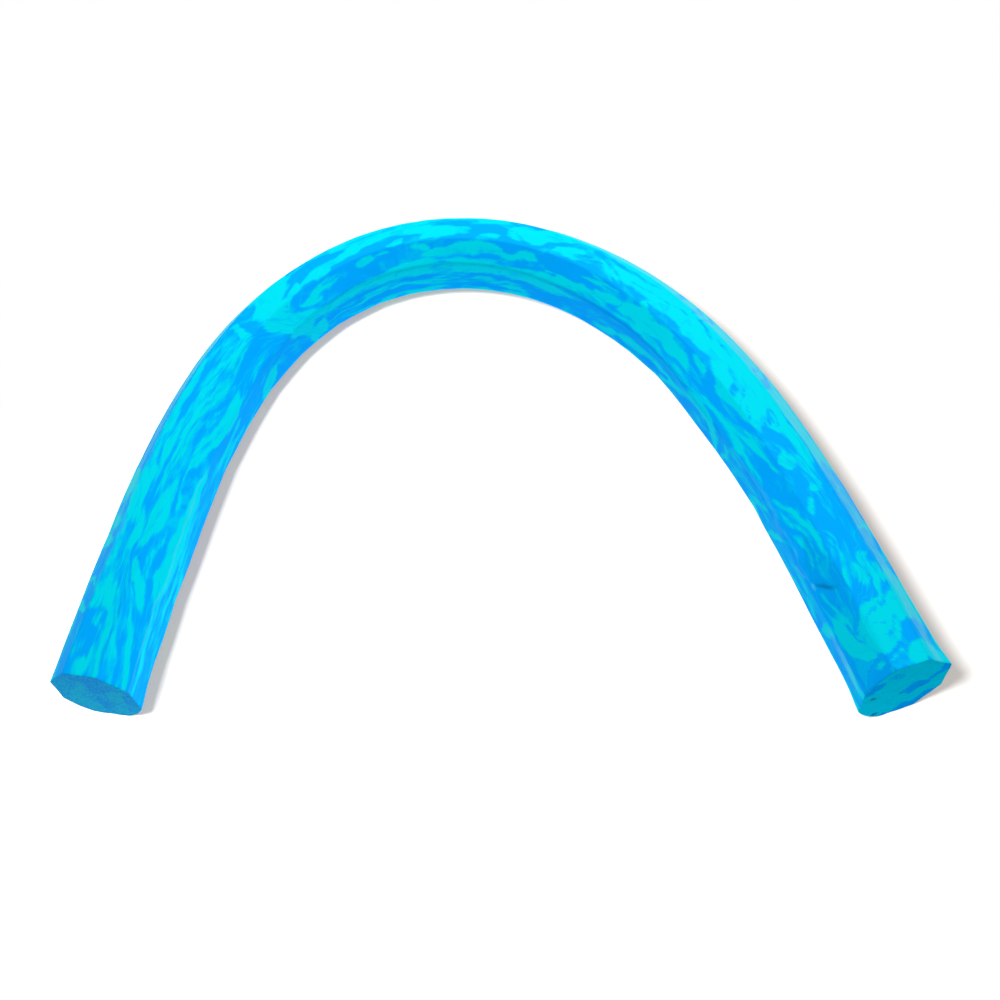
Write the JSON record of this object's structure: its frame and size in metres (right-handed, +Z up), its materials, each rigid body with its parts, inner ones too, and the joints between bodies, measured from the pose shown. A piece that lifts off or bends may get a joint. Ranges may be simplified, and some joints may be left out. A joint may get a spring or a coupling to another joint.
{
  "type": "pool noodle",
  "caption": "Solid octagonal foam pool noodle, marbled in blue and cyan and bent into a wide arch, for floating, swimming support and water play.",
  "frame": {"origin": "middle of the footprint's box, on the surface that the noodle lies on", "axes": "+X along the line between the two cut ends, +Z up from the flat that it rests on, and the arch opens towards -Y"},
  "size_m": [0.776, 0.5892, 0.076],
  "materials": {
    "marbled_foam": "closed-cell polyethylene foam, soft satin with a fine grain, marbled in blue and cyan through its whole depth"
  },
  "bodies": {
    "root": {"foam_noodle": "marbled_foam"}
  },
  "joints": []
}
